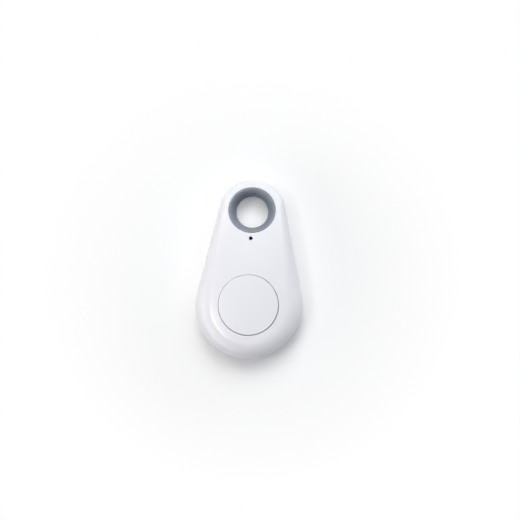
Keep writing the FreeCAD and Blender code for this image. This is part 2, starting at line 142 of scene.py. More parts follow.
tailY = housing["tailRadius"] - housing["length"] / 2
headY = housing["length"] / 2 - housing["headRadius"]
eyeY = housing["length"] / 2 - eye["endRim"] - eye["radius"]
buttonY = tailY - button["offset"]
lampY = eyeY - eye["radius"] - lamp["gap"]

fill = {"holeRoom": 0.45, "rimRoom": 0.5, "rowStep": 0.866, "holeShare": 0.9995}
edgeSteps = 5
edgeSupport = 1.5
sharpAngle = 38
weldMetres = 0.000002


def bodyForm(inset):
    h = housing
    return (
        h["tailRadius"] - inset, tailY, h["headRadius"] - inset, headY,
        h["shoulderAngle"], h["shoulderRadius"] - inset,
    )


def faceForm():
    h = housing
    tail = button["radius"] + button["gap"] + h["faceRim"]
    return (
        tail, buttonY, h["faceHeadRadius"], eyeY,
        h["faceShoulderAngle"], h["faceShoulderRadius"],
    )


def arc(x, y, radius, start, end, count):
    step = (end - start) / count
    turns = [start + step * i for i in range(count)]
    return [(x + radius * math.cos(turn), y + radius * math.sin(turn)) for turn in turns]


def teardrop(form):
    # the side line touches the tail circle; a short shoulder arc joins it to the head circle
    tail, tailAt, head, headAt, shoulderAngle, shoulder = form
    tailSteps, sideSteps, shoulderSteps, headSteps = housing["outlineSteps"]
    angle = math.radians(shoulderAngle)
    across = head * math.sin(angle)
    along = headAt + head * math.cos(angle) - tailAt
    lean = math.asin(tail / math.hypot(across, along)) - math.atan2(across, along)
    c, s = math.cos(lean), math.sin(lean)
    baseX = c * (tail - shoulder)
    baseY = tailAt + s * (tail - shoulder) - headAt
    half = s * baseX - c * baseY
    slide = half + math.sqrt(half ** 2 - baseX ** 2 - baseY ** 2 + (head - shoulder) ** 2)
    x = baseX - slide * s
    y = baseY + slide * c
    turn = math.atan2(y, x)
    start = (c * tail, tailAt + s * tail)
    end = (x + c * shoulder, headAt + y + s * shoulder)
    right = arc(0, tailAt, tail, -math.pi / 2, lean, tailSteps)
    for i in range(sideSteps):
        right.append(tuple(a + (b - a) * i / sideSteps for a, b in zip(start, end)))
    right += arc(x, headAt + y, shoulder, lean, turn, shoulderSteps)
    right += arc(0, headAt, head, turn, math.pi / 2, headSteps)
    right.append((0.0, headAt + head))
    return right + [(-px, py) for px, py in reversed(right[1:-1])]


def crown(x, y, drop=0.0):
    # a ball's face that falls off a little more to the sides
    h = housing
    reach = x ** 2 + (y - h["crownY"]) ** 2
    ball = h["thickness"] - h["crownRadius"] + math.sqrt((h["crownRadius"] - drop) ** 2 - reach)
    return ball - h["sideFall"] * x ** 2


def blend(a, b, share):
    return tuple(u + (v - u) * share for u, v in zip(a, b))


def flankRing(inset, turn):
    # one outline of the flank: turn is 0 at the split line and 90 degrees at the crown
    h = housing
    lift = math.sin(turn) ** h["footPower"]
    share = 1 - abs(math.cos(turn)) ** h["creasePower"]
    points = teardrop(blend(bodyForm(inset), faceForm(), share))
    split = h["split"]
    return [Vector((x, y, split + lift * (crown(x, y, inset) - split))) for x, y in points]


def flatRing(inset, z):
    return [Vector((x, y, z)) for x, y in teardrop(bodyForm(inset))]


def circleRing(x, y, radius, height, count):
    # height is a number or a rule of x and y
    ring = []
    for i in range(count):
        a = 2 * math.pi * i / count
        px, py = x + radius * math.cos(a), y + radius * math.sin(a)
        ring.append(Vector((px, py, height(px, py) if callable(height) else height)))
    return ring


def bridge(mesh, rings):
    loops = [[mesh.verts.new(p) for p in ring] for ring in rings]
    for low, high in zip(loops, loops[1:]):
        count = len(low)
        for i in range(count):
            after = (i + 1) % count
            mesh.faces.new((low[i], low[after], high[after], high[i]))
    return loops


def fillFlat(mesh, outer, holes, height, spacing):
    # triangles between an outline and round holes, on a fine grid so that the dome shades smoothly
    rim = [Vector((p.x, p.y)) for p in outer]
    flat = list(rim)
    edges = [(i, (i + 1) % len(outer)) for i in range(len(outer))]
    for ring, *_ in holes:
        first = len(flat)
        flat += [Vector((p.x, p.y)) for p in ring]
        edges += [(first + i, first + (i + 1) % len(ring)) for i in range(len(ring))]
    holeRoom, rimRoom = spacing * fill["holeRoom"], spacing * fill["rimRoom"]
    lowX, highX = min(p.x for p in rim), max(p.x for p in rim)
    lowY, highY = min(p.y for p in rim), max(p.y for p in rim)
    row, y = 0, lowY
    while y < highY:
        x = lowX + (spacing / 2 if row % 2 else 0)
        while x < highX:
            spot = Vector((x, y))
            clear = all((spot - Vector((0, at))).length > r + holeRoom for _, at, r in holes)
            if clear and insideOutline(spot, rim) and min((spot - p).length for p in rim) > rimRoom:
                flat.append(spot)
            x += spacing
        y += spacing * fill["rowStep"]
        row += 1
    spots, _, faces, *_ = geometry.delaunay_2d_cdt(flat, edges, [], 1, 1e-6)
    made = [mesh.verts.new((p.x, p.y, height(p.x, p.y))) for p in spots]
    for face in faces:
        middle = sum((spots[i] for i in face), Vector((0, 0))) / len(face)
        if all((middle - Vector((0, at))).length > r * fill["holeShare"] for _, at, r in holes):
            mesh.faces.new([made[i] for i in face])


def shadePiece(mesh, data, name, sharp):
    # smooth shading between sharp edges, and a line that says what was made
    openEdges = sum(1 for e in mesh.edges if len(e.link_faces) != 2)
    mesh.free()
    data.polygons.foreach_set("use_smooth", [True] * len(data.polygons))
    data.set_sharp_from_angle(angle=math.radians(sharp))
    print(name + ":", len(data.polygons), "faces,", openEdges, "open edges")


def insideOutline(spot, rim):
    inside = False
    for a, b in zip(rim, rim[1:] + rim[:1]):
        if (a.y > spot.y) != (b.y > spot.y):
            if spot.x < a.x + (spot.y - a.y) * (b.x - a.x) / (b.y - a.y):
                inside = not inside
    return inside


def finishMesh(mesh, name, weld=0.004):
    # doubles merged, normals of the closed shell, then millimetres to metres
    bmesh.ops.remove_doubles(mesh, verts=mesh.verts, dist=weld)
    bmesh.ops.dissolve_degenerate(mesh, edges=mesh.edges, dist=0.0005)
    bmesh.ops.recalc_face_normals(mesh, faces=mesh.faces)
    bmesh.ops.scale(mesh, vec=(mm, mm, mm), verts=mesh.verts)
    data = bpy.data.meshes.new(name)
    mesh.to_mesh(data)
    shadePiece(mesh, data, name, sharpAngle)
    piece = bpy.data.objects.new(name, data)
    bpy.context.scene.collection.objects.link(piece)
    return piece


def quarterRound(edge, steps):
    # how far a rounded edge still stands off its wall, and how far it has dropped, at each step
    turns = [math.radians(90 * i / steps) for i in range(steps + 1)]
    return [(edge * (1 - math.sin(turn)), edge * (1 - math.cos(turn))) for turn in turns]


def edgeRings(y, radius, edge, count, height):
    # a support ring, then the rounded edge that rolls from the dome down into a round opening
    rings = [circleRing(0, y, radius + edge * edgeSupport, height, count)]
    for reach, fall in quarterRound(edge, edgeSteps):
        lowered = lambda px, py, fall=fall: height(px, py) - fall
        rings.append(circleRing(0, y, radius + reach, lowered, count))
    return rings


def buildFrontShell():
    h, b, e, l = housing, button, eye, lamp
    inner = lambda x, y: crown(x, y, h["wall"])
    step = h["split"] + h["rebate"]
    mesh = bmesh.new()

    # inner skin, from its crown down to the step of the lap joint
    rings = []
    for i in range(h["innerRings"] + 1):
        turn = math.radians(90 - (90 - h["innerLow"]) * i / h["innerRings"])
        rings.append(flankRing(h["wall"], turn))
    for p in rings[-1]:
        p.z = step
    innerRim = rings[0]

    # lap joint, with shallow recesses where the catches snap in
    deep = teardrop(bodyForm(h["lip"] - h["catchDepth"]))
    plain = teardrop(bodyForm(h["lip"]))
    seat = []
    for (dx, dy), (px, py) in zip(deep, plain):
        caught = any(abs(py - place) < h["catchLength"] / 2 for place in h["catchPlaces"])
        seat.append((dx, dy) if caught and abs(px) > h["catchSide"] else (px, py))
    for z in (step, h["split"]):
        rings.append([Vector((x, y, z)) for x, y in seat])

    # rounded parting edge, then the flank that rolls up into the crown
    for reach, fall in quarterRound(h["splitEdge"], h["splitSteps"]):
        rings.append(flatRing(reach, h["split"] + fall))
    for i in range(h["flankStart"], h["flankRings"] + 1):
        rings.append(flankRing(0.0, math.radians(90 * i / h["flankRings"])))
    outerRim = rings[-1]
    bridge(mesh, rings)

    # openings: rounded edge, wall, and the seat or collar under it
    hole, bore, top = b["radius"] + b["gap"], e["radius"] + e["slip"], e["flangeTop"] + e["slip"]
    ledge = hole + b["seatWidth"]
    openings = (
        (b, buttonY, hole, ((hole, b["seat"]), (ledge, b["seat"]), (ledge, inner))),
        (e, eyeY, bore, ((bore, top), (e["collar"], top), (e["collar"], inner))),
        (l, lampY, l["radius"], ((l["radius"], inner),)),
    )
    faceHoles, innerHoles = [], []
    for form, y, radius, walls in openings:
        rings = edgeRings(y, radius, form["edge"], form["segments"], crown)
        rings += [circleRing(0, y, reach, z, form["segments"]) for reach, z in walls]
        bridge(mesh, rings)
        faceHoles.append((rings[0], y, radius + form["edge"] * edgeSupport))
        innerHoles.append((rings[-1], y, walls[-1][0]))
    fillFlat(mesh, outerRim, faceHoles, crown, h["faceGrid"])
    fillFlat(mesh, innerRim, innerHoles, inner, h["innerGrid"])
    return finishMesh(mesh, "frontShell")


def buildButton():
    b = button
    mesh = bmesh.new()
    ring = lambda radius, height: circleRing(0, buttonY, radius, height, b["segments"])
    under = lambda x, y: crown(x, y, b["skin"])
    face = b["radius"] - b["edge"] * edgeSupport
    rings = [ring(face * i / b["faceRings"], crown) for i in range(1, b["faceRings"] + 1)]
    for reach, fall in quarterRound(b["edge"], edgeSteps):
        rings.append(ring(b["radius"] - reach, lambda x, y, fall=fall: crown(x, y) - fall))
    hollow = b["radius"] - b["wall"]
    rings += [ring(radius, z) for radius, z in (
        (b["radius"], b["flangeTop"]), (b["flange"], b["flangeTop"]), (b["flange"], b["flangeLow"]),
        (hollow, b["flangeLow"]), (hollow, under),
    )]
    rings += [ring(hollow * i / b["underRings"], under) for i in range(b["underRings"] - 1, 0, -1)]
    loops = bridge(mesh, rings)
    for loop, height in ((loops[0], crown), (loops[-1], under)):
        middle = mesh.verts.new((0, buttonY, height(0, buttonY)))
        for a, c in zip(loop, loop[1:] + loop[:1]):
            mesh.faces.new((a, c, middle))
    bmesh.ops.translate(mesh, verts=mesh.verts, vec=(*b["shift"], 0))
    return finishMesh(mesh, "buttonCap", weld=0.0005)


# small helpers for node trees
def geometryTree(name, sizes):
    tree = bpy.data.node_groups.new(name, "GeometryNodeTree")
    socket = tree.interface.new_socket
    socket("Geometry", in_out="INPUT", socket_type="NodeSocketGeometry")
    for label, value in sizes.items():
        kind = "NodeSocketInt" if isinstance(value, int) else "NodeSocketFloat"
        socket(label, in_out="INPUT", socket_type=kind).default_value = value
    socket("Finish", in_out="INPUT", socket_type="NodeSocketMaterial")
    socket("Geometry", in_out="OUTPUT", socket_type="NodeSocketGeometry")
    source = tree.nodes.new("NodeGroupInput")
    return tree, source.outputs, tree.nodes.new("NodeGroupOutput")


def addNode(tree, kind, links=None, **settings):
    node = tree.nodes.new(kind)
    for key, value in settings.items():
        setattr(node, key, value)
    for key, value in (links or {}).items():
        socket = node.inputs[key]
        if isinstance(value, bpy.types.NodeSocket):
            tree.links.new(value, socket)
        else:
            socket.default_value = value
    return node


def calc(tree, operation, a, b=0.0, c=0.0):
    return addNode(tree, "ShaderNodeMath", {0: a, 1: b, 2: c}, operation=operation).outputs[0]


def vector(tree, x=0.0, y=0.0, z=0.0):
    return addNode(tree, "ShaderNodeCombineXYZ", {0: x, 1: y, 2: z}).outputs[0]


def axes(tree, value):
    return addNode(tree, "ShaderNodeSeparateXYZ", {0: value}).outputs


def scaled(tree, value, share):
    links = {0: value, "Scale": share}
    return addNode(tree, "ShaderNodeVectorMath", links, operation="SCALE").outputs[0]


def position(tree):
    return addNode(tree, "GeometryNodeInputPosition").outputs[0]


def placed(tree, shape, **how):
    return addNode(tree, "GeometryNodeTransform", {"Geometry": shape, **how}).outputs[0]


def scatter(tree, points, shape, **how):
    links = {"Points": points, "Instance": shape, **how}
    return addNode(tree, "GeometryNodeInstanceOnPoints", links).outputs[0]


def joined(tree, *shapes):
    both = addNode(tree, "GeometryNodeJoinGeometry")
    for shape in shapes:
        tree.links.new(shape, both.inputs[0])
    return both.outputs[0]


def endTree(tree, get, sink, shape):
    real = addNode(tree, "GeometryNodeRealizeInstances", {"Geometry": shape}).outputs[0]
    links = {"Geometry": real, "Material": get["Finish"]}
    finish = addNode(tree, "GeometryNodeSetMaterial", links)
    tree.links.new(finish.outputs[0], sink.inputs["Geometry"])
    return tree


def growPiece(name, makeTree, sizes, finish, base, sharp=38, weld=True):
    # the tree's result as a plain mesh on a new object
    tree = makeTree(sizes)
    piece = bpy.data.objects.new(name, base)
    bpy.context.scene.collection.objects.link(piece)
    modifier = piece.modifiers.new(tree.name, "NODES")
    modifier.node_group = tree
    items = tree.interface.items_tree
    keys = {item.name: item.identifier for item in items if item.in_out == "INPUT"}
    for label, value in {**sizes, "Finish": finish}.items():
        modifier[keys[label]] = value
    bpy.context.view_layer.update()
    ready = piece.evaluated_get(bpy.context.evaluated_depsgraph_get())
    data = bpy.data.meshes.new_from_object(ready)
    piece.modifiers.remove(modifier)
    piece.data = data
    data.name = name
    mesh = bmesh.new()
    mesh.from_mesh(data)
    if weld:
        bmesh.ops.remove_doubles(mesh, verts=mesh.verts, dist=weldMetres)
        bmesh.ops.recalc_face_normals(mesh, faces=mesh.faces)
        mesh.to_mesh(data)
    shadePiece(mesh, data, name, sharp)
    return piece


def pointMesh(name, places):
    data = bpy.data.meshes.new(name)
    data.from_pydata([Vector(p) * mm for p in places], [], [])
    return data


# the eye is a turned profile whose front rim follows the dome
def eyeProfile():
    e = eye
    rimZ = crown(0, eyeY) - e["sink"]
    throatTop = e["throatMiddle"] + e["throatLength"] / 2
    throatLow = e["throatMiddle"] - e["throatLength"] / 2
    outer, throat, power = e["radius"], e["throat"], e["funnelPower"]
    lip = outer - e["rim"]
    start = rimZ - e["lipRound"]

    def funnel(turn):
        # the radius, and the share of the height, from the throat at 0 to the lip at 90 degrees
        a = math.radians(turn)
        return throat + (lip - throat) * (1 - abs(math.cos(a)) ** power), math.sin(a) ** power

    rim = quarterRound(e["rimRound"], edgeSteps)
    points = [(outer - fall, rimZ - reach) for reach, fall in rim]
    # rim rolls over into the funnel
    for reach, fall in quarterRound(e["lipRound"], e["lipSteps"])[1:]:
        points.append((lip + reach, rimZ - fall))
    count = e["funnelSteps"]
    for i in range(1, count + 1):
        radius, rise = funnel(90 - 90 * i / count)
        points.append((radius, throatTop + (start - throatTop) * rise))
    for i in range(count + 1):
        radius, rise = funnel(90 * i / count)
        points.append((radius, throatLow * (1 - rise)))
    points += [(outer - back, z) for back, z in e["foot"]]
    low, top, flange = e["flangeLow"], e["flangeTop"], e["flange"]
    points += [(outer, low), (flange, low), (flange, top), (outer, top)]
    return points, rimZ, throatTop


def eyeTree(sizes):
    tree, get, sink = geometryTree("eyeTurning", sizes)
    times = lambda a, b: calc(tree, "MULTIPLY", a, b)
    less = lambda a, b: calc(tree, "SUBTRACT", a, b)
    over = lambda a, b: calc(tree, "DIVIDE", a, b)
    rows = get["Profile Points"]
    columns = calc(tree, "ADD", get["Segments"], 1.0)
    grid = addNode(tree, "GeometryNodeMeshGrid", {"Vertices X": columns, "Vertices Y": rows})
    index = addNode(tree, "GeometryNodeInputIndex").outputs[0]
    row = calc(tree, "MODULO", index, rows)
    column = calc(tree, "FLOOR", over(index, rows))
    turn = times(over(column, get["Segments"]), 2 * math.pi)
    sample = addNode(tree, "GeometryNodeSampleIndex", {"Geometry": get["Geometry"], "Index": row},
                     data_type="FLOAT_VECTOR", domain="POINT")
    tree.links.new(position(tree), sample.inputs["Value"])
    profile = axes(tree, sample.outputs["Value"])
    x = times(profile[0], calc(tree, "COSINE", turn))
    y = calc(tree, "ADD", times(profile[0], calc(tree, "SINE", turn)), get["Eye Y"])
    # how far the dome lies above or below the rim's own height at x, y
    radius, square = get["Crown Radius"], times(x, x)
    run = less(y, get["Crown Y"])
    reach = calc(tree, "ADD", square, times(run, run))
    fall = less(radius, calc(tree, "SQRT", less(times(radius, radius), reach)))
    fall = calc(tree, "MULTIPLY_ADD", square, get["Side Fall"], fall)
    tilt = less(less(get["Crown Height"], fall), get["Rim Height"])
    span = less(get["Rim Height"], get["Throat Top"])
    level = over(less(profile[2], get["Throat Top"]), span)
    share = addNode(tree, "ShaderNodeClamp", {"Value": level}).outputs[0]
    z = calc(tree, "ADD", profile[2], times(tilt, share))
    links = {"Geometry": grid.outputs["Mesh"], "Position": vector(tree, x, y, z)}
    moved = addNode(tree, "GeometryNodeSetPosition", links)
    return endTree(tree, get, sink, moved.outputs[0])


def buildEye(finish):
    points, rimZ, throatTop = eyeProfile()
    points.append(points[0])
    base = pointMesh("eyeProfile", [(r, 0, z) for r, z in points])
    sizes = {
        "Segments": eye["segments"],
        "Profile Points": len(points),
        "Eye Y": eyeY * mm,
        "Throat Top": throatTop * mm,
        "Rim Height": rimZ * mm,
        "Crown Radius": housing["crownRadius"] * mm,
        "Crown Y": housing["crownY"] * mm,
        "Crown Height": (housing["thickness"] - eye["sink"]) * mm,
        "Side Fall": housing["sideFall"] / mm,
    }
    return growPiece("eyeRing", eyeTree, sizes, finish, base, sharp=40)


board = {
    "maskGreen": (0.014, 0.115, 0.054, 1.0),
    "trackGreen": (0.022, 0.165, 0.073, 1.0),
    "laminate": (0.42, 0.36, 0.2, 1.0),
    "trackPitch": 0.8,
    "trackWidth": 0.16,
    "cell": 0.21,
    "weave": 2300.0,
    "bottom": 5.35,
    "thickness": 0.8,
    "floodFrom": 0.62,
    "weaveBend": 1.5,
    "weaveTint": (0.93, 1.05),
    "rough": 0.3,
    "edgeRough": 0.4,
    "marks": 0.1,
    "markScale": 200.0,
    "bump": 0.4,
    "depth": 0.00003,
}
chip = {
    "y": 3.786, "width": 3.99, "level": 4.625, "reach": 1.02, "pinWidth": 0.4,
    "pinThickness": 0.15, "pitch": 1.27, "pins": 8, "swell": 0.55, "leadSteps": 10,
}


def pinTree(sizes):
    # a gull-wing lead swept along an S curve, then set along both sides of the chip
    tree, get, sink = geometryTree("chipLeads", sizes)
    reach, rise = get["Reach"], get["Rise"]
    soft = calc(tree, "MULTIPLY", reach, get["Swell"])
    bent = calc(tree, "SUBTRACT", reach, soft)
    path = addNode(tree, "GeometryNodeCurvePrimitiveBezierSegment", {
        "Resolution": chip["leadSteps"],
        "Start": vector(tree), "Start Handle": vector(tree, y=soft),
        "End Handle": vector(tree, y=bent, z=rise), "End": vector(tree, y=reach, z=rise),
    }, mode="POSITION")
    links = {"Width": get["Width"], "Height": get["Thickness"]}
    bar = addNode(tree, "GeometryNodeCurvePrimitiveQuadrilateral", links)
    links = {"Curve": path.outputs[0], "Profile Curve": bar.outputs[0], "Fill Caps": True}
    lead = addNode(tree, "GeometryNodeCurveToMesh", links).outputs[0]
    far = calc(tree, "LESS_THAN", axes(tree, position(tree))[1], get["Middle"])
    turn = vector(tree, z=calc(tree, "MULTIPLY", far, math.pi))
    return endTree(tree, get, sink, scatter(tree, get["Geometry"], lead, Rotation=turn))


def growPins(finish):
    c = chip
    places = []
    for side in (-1, 1):
        for i in range(c["pins"]):
            x = (i - (c["pins"] - 1) / 2) * c["pitch"]
            places.append((x, c["y"] + side * c["width"] / 2, c["level"]))
    rise = board["bottom"] - c["pinThickness"] / 2 - c["level"]
    sizes = {
        "Reach": c["reach"] * mm, "Rise": rise * mm, "Swell": c["swell"],
        "Width": c["pinWidth"] * mm, "Thickness": c["pinThickness"] * mm, "Middle": c["y"] * mm,
    }
    return growPiece("chipPins", pinTree, sizes, finish, pointMesh("pinPlaces", places))


posts = {
    "places": ((10.2, -1.2), (10.95, -14.6)), "boss": 1.1, "root": 1.35,
    "bossLow": 6.15, "bossTop": 9.4, "pin": 0.45, "head": 0.75, "headHeight": 0.3, "cover": 0.7,
}


def postTree(sizes):
    # a tapered boss, its pin and the melted head of a heat stake
    tree, get, sink = geometryTree("heatStakes", sizes)
    boss = addNode(tree, "GeometryNodeMeshCone", {
        "Vertices": 32, "Side Segments": 3, "Radius Top": get["Root"], "Radius Bottom": get["Boss"],
        "Depth": get["Boss Height"],
    }).outputs[0]
    links = {"Vertices": 24, "Radius": get["Pin"], "Depth": get["Pin Length"]}
    pin = addNode(tree, "GeometryNodeMeshCylinder", links).outputs["Mesh"]
    low = vector(tree, z=calc(tree, "MULTIPLY", get["Pin Length"], -0.5))
    links = {"Segments": 24, "Rings": 12, "Radius": get["Head"]}
    ball = addNode(tree, "GeometryNodeMeshUVSphere", links).outputs["Mesh"]
    shape = vector(tree, 1.0, 1.0, calc(tree, "DIVIDE", get["Head Height"], get["Head"]))
    foot = vector(tree, z=calc(tree, "MULTIPLY", get["Pin Length"], -1.0))
    hung = placed(tree, pin, Translation=low)
    head = placed(tree, ball, Translation=foot, Scale=shape)
    post = joined(tree, boss, hung, head)
    return endTree(tree, get, sink, scatter(tree, get["Geometry"], post))


def growPosts(finish, shell):
    p = posts
    places = [(side * x, y, p["bossLow"]) for x, y in p["places"] for side in (-1, 1)]
    sizes = {
        "Boss": p["boss"] * mm, "Root": p["root"] * mm,
        "Boss Height": (p["bossTop"] - p["bossLow"]) * mm,
        "Pin": p["pin"] * mm, "Pin Length": (p["bossLow"] - board["bottom"]) * mm,
        "Head": p["head"] * mm, "Head Height": p["headHeight"] * mm,
    }
    piece = growPiece("boardPosts", postTree, sizes, finish, pointMesh("postPlaces", places))
    # their roots end inside the shell's wall, whose flank slopes there
    for vert in piece.data.vertices:
        surface = shell.ray_cast(Vector((vert.co.x, vert.co.y, 1.0)), Vector((0, 0, -1)))[1].z
        vert.co.z = min(vert.co.z, surface - p["cover"] * mm)
    return piece


def ribTree(sizes):
    # arms of a cross about the button's middle, with the nub that meets the switch
    tree, get, sink = geometryTree("buttonRibs", sizes)
    reach, tall = get["Arm Length"], get["Arm Height"]
    size = vector(tree, reach, get["Arm Width"], tall)
    bar = addNode(tree, "GeometryNodeMeshCube", {"Size": size, "Vertices X": 4}).outputs["Mesh"]
    # a little under half, so that opposite arms overlap and share no face
    out = calc(tree, "MULTIPLY", reach, button["ribShare"])
    arm = placed(tree, bar, Translation=vector(tree, out, z=calc(tree, "MULTIPLY", tall, -0.5)))
    links = {"Count": get["Arms"], "Offset": (0.0, 0.0, 0.0)}
    copies = addNode(tree, "GeometryNodeMeshLine", links).outputs[0]
    index = addNode(tree, "GeometryNodeInputIndex").outputs[0]
    share = calc(tree, "DIVIDE", index, get["Arms"])
    turn = vector(tree, z=calc(tree, "MULTIPLY", share, 2 * math.pi))
    cross = scatter(tree, copies, arm, Rotation=turn)
    nub = addNode(tree, "GeometryNodeMeshCone", {
        "Vertices": 48, "Side Segments": 2, "Radius Top": get["Nub"], "Radius Bottom": get["Nub"],
        "Depth": get["Nub Height"],
    }).outputs["Mesh"]
    drop = vector(tree, z=calc(tree, "MULTIPLY", get["Nub Height"], -1.0))
    both = joined(tree, cross, placed(tree, nub, Translation=drop))
    return endTree(tree, get, sink, scatter(tree, get["Geometry"], both))


def growRibs(finish):
    b = button
    top = crown(0, buttonY, b["skin"]) + b["ribRoot"]
    sizes = {
        "Arms": b["arms"], "Arm Length": (b["radius"] - b["wall"] + b["ribBite"]) * mm,
        "Arm Width": b["rib"] * mm, "Arm Height": (b["ribDepth"] + b["ribRoot"]) * mm,
        "Nub": b["nub"] * mm, "Nub Height": (top - b["seat"] + b["nubBite"]) * mm,
    }
    base = pointMesh("ribPlace", [(0, buttonY, top)])
    return growPiece("buttonRibs", ribTree, sizes, finish, base, weld=False)


solder = {
    "radius": 0.55, "height": 0.32, "ripple": 0.06, "rippleScale": 1800.0,
    "sizes": (0.85, 1.1), "seed": 7,
    "onTop": ((-4.3, 3.3), (4.3, 3.3), (-3.1, -13.05), (3.1, -13.05), (-3.1, -8.85), (3.1, -8.85)),
    "under": ((-11.3, -12.2), (-11.3, -8.8), (11.3, -12.2), (11.3, -8.8)),
}


def solderTree(sizes):
    # uneven drops of solder, half sunk in the board
    tree, get, sink = geometryTree("solderDrops", sizes)
    links = {"Segments": 20, "Rings": 12, "Radius": get["Radius"]}
    ball = addNode(tree, "GeometryNodeMeshUVSphere", links).outputs["Mesh"]
    flat = calc(tree, "DIVIDE", get["Height"], get["Radius"])
    drop = placed(tree, ball, Scale=vector(tree, 1.0, 1.0, flat))
    size = addNode(tree, "FunctionNodeRandomValue", {"Seed": get["Seed"]}, data_type="FLOAT")
    size.inputs[2].default_value, size.inputs[3].default_value = solder["sizes"]
    row = scatter(tree, get["Geometry"], drop, Scale=size.outputs[1])
    real = addNode(tree, "GeometryNodeRealizeInstances", {"Geometry": row}).outputs[0]
    links = {"Vector": position(tree), "Scale": solder["rippleScale"], "Detail": 1.0}
    wave = addNode(tree, "ShaderNodeTexNoise", links).outputs[0]
    push = calc(tree, "MULTIPLY", calc(tree, "SUBTRACT", wave, 0.5), get["Ripple"])
    offset = scaled(tree, addNode(tree, "GeometryNodeInputNormal").outputs[0], push)
    rippled = addNode(tree, "GeometryNodeSetPosition", {"Geometry": real, "Offset": offset})
    return endTree(tree, get, sink, rippled.outputs[0])


def growSolder(finish):
    s = solder
    low = board["bottom"]
    top = low + board["thickness"]
    places = [(x, y, top) for x, y in s["onTop"]] + [(x, y, low) for x, y in s["under"]]
    sizes = {
        "Radius": s["radius"] * mm, "Height": s["height"] * mm, "Ripple": s["ripple"] * mm,
        "Seed": s["seed"],
    }
    return growPiece("solderJoints", solderTree, sizes, finish, pointMesh("solderPlaces", places))


surfaceOutputs = {"Color": "Color", "Roughness": "Float", "Height": "Float"}


def shaderGroup(name, inputs, outputs):
    tree = bpy.data.node_groups.new(name, "ShaderNodeTree")
    socket = tree.interface.new_socket
    for label, value in inputs.items():
        kind = "NodeSocketColor" if isinstance(value, tuple) else "NodeSocketFloat"
        socket(label, in_out="INPUT", socket_type=kind).default_value = value
    for label, kind in outputs.items():
        socket(label, in_out="OUTPUT", socket_type="NodeSocket" + kind)
    source = tree.nodes.new("NodeGroupInput")
    return tree, source.outputs, tree.nodes.new("NodeGroupOutput")


def endGroup(tree, sink, results):
    for label, value in results.items():
        tree.links.new(value, sink.inputs[label])
    return tree


def objectCoords(tree):
    return addNode(tree, "ShaderNodeTexCoord").outputs["Object"]


def noise(tree, scale, detail, rough, coords=None, shift=(0, 0, 0), stretch=(1, 1, 1), turn=0.0):
    mapped = addNode(tree, "ShaderNodeMapping", {
        "Vector": coords or objectCoords(tree), "Location": shift, "Rotation": (0, 0, turn),
        "Scale": stretch,
    })
    return addNode(tree, "ShaderNodeTexNoise", {
        "Vector": mapped.outputs[0], "Scale": scale, "Detail": detail, "Roughness": rough,
    }).outputs[0]


def spread(tree, value, low, high, fromLow, fromHigh):
    links = {
        "Value": value, "From Min": fromLow, "From Max": fromHigh, "To Min": low, "To Max": high,
    }
    return addNode(tree, "ShaderNodeMapRange", links).outputs[0]


def sway(tree, value, amount, base, middle=0.5):
    # a base that a noise moves up and down by an amount
    return calc(tree, "MULTIPLY_ADD", calc(tree, "SUBTRACT", value, middle), amount, base)


def mixed(tree, share, a, b):
    links = {0: share, 6: a, 7: b}
    return addNode(tree, "ShaderNodeMix", links, data_type="RGBA").outputs[2]


def mouldedSkin():
    inputs = {
        "Tone": (0.8, 0.8, 0.8, 1.0), "Tone Spread": 0.02, "Roughness": 0.3,
        "Roughness Spread": 0.05, "Grain Scale": 4000.0,
    }
    tree, get, sink = shaderGroup("mouldedSkin", inputs, surfaceOutputs)
    flow = noise(tree, 85.0, 2.0, 0.5)
    cloud = noise(tree, 420.0, 4.0, 0.6, shift=(3, 1, 2))
    return endGroup(tree, sink, {
        "Color": scaled(tree, get["Tone"], sway(tree, flow, get["Tone Spread"], 1.0)),
        "Roughness": sway(tree, cloud, get["Roughness Spread"], get["Roughness"]),
        "Height": noise(tree, get["Grain Scale"], 3.0, 0.6, shift=(7, 5, 1)),
    })


def handlingMarks():
    # faint strokes in three directions, only in some patches
    inputs = {"Amount": 0.5, "Length Scale": 120.0}
    tree, get, sink = shaderGroup("handlingMarks", inputs, {"Mask": "Float"})
    masks = []
    for turn, shift in ((0.5, 2.0), (-0.9, 6.0), (1.7, 11.0)):
        lines = noise(tree, get["Length Scale"], 2.0, 0.5, shift=(shift, 0, shift),
                      stretch=(0.6, 22.0, 6.0), turn=turn)
        masks.append(spread(tree, lines, 0.0, 1.0, 0.66, 0.74))
    total = calc(tree, "ADD", calc(tree, "ADD", masks[0], masks[1]), masks[2])
    patches = spread(tree, noise(tree, 140.0, 2.0, 0.5, shift=(9, 9, 9)), 0.0, 1.0, 0.45, 0.65)
    shown = calc(tree, "MULTIPLY", calc(tree, "MULTIPLY", total, patches), get["Amount"])
    return endGroup(tree, sink, {"Mask": shown})


def newMaterial(name):
    material = bpy.data.materials.new(name)
    material.use_nodes = True
    tree = material.node_tree
    shader = tree.nodes["Principled BSDF"]
    return material, tree, shader


def groupNode(tree, group, values):
    node = tree.nodes.new("ShaderNodeGroup")
    node.node_tree = group
    for key, value in values.items():
        node.inputs[key].default_value = value
    return node


def bumpFrom(tree, shader, height, strength, distance):
    links = {"Strength": strength, "Distance": distance, "Height": height}
    bump = addNode(tree, "ShaderNodeBump", links)
    tree.links.new(bump.outputs[0], shader.inputs["Normal"])


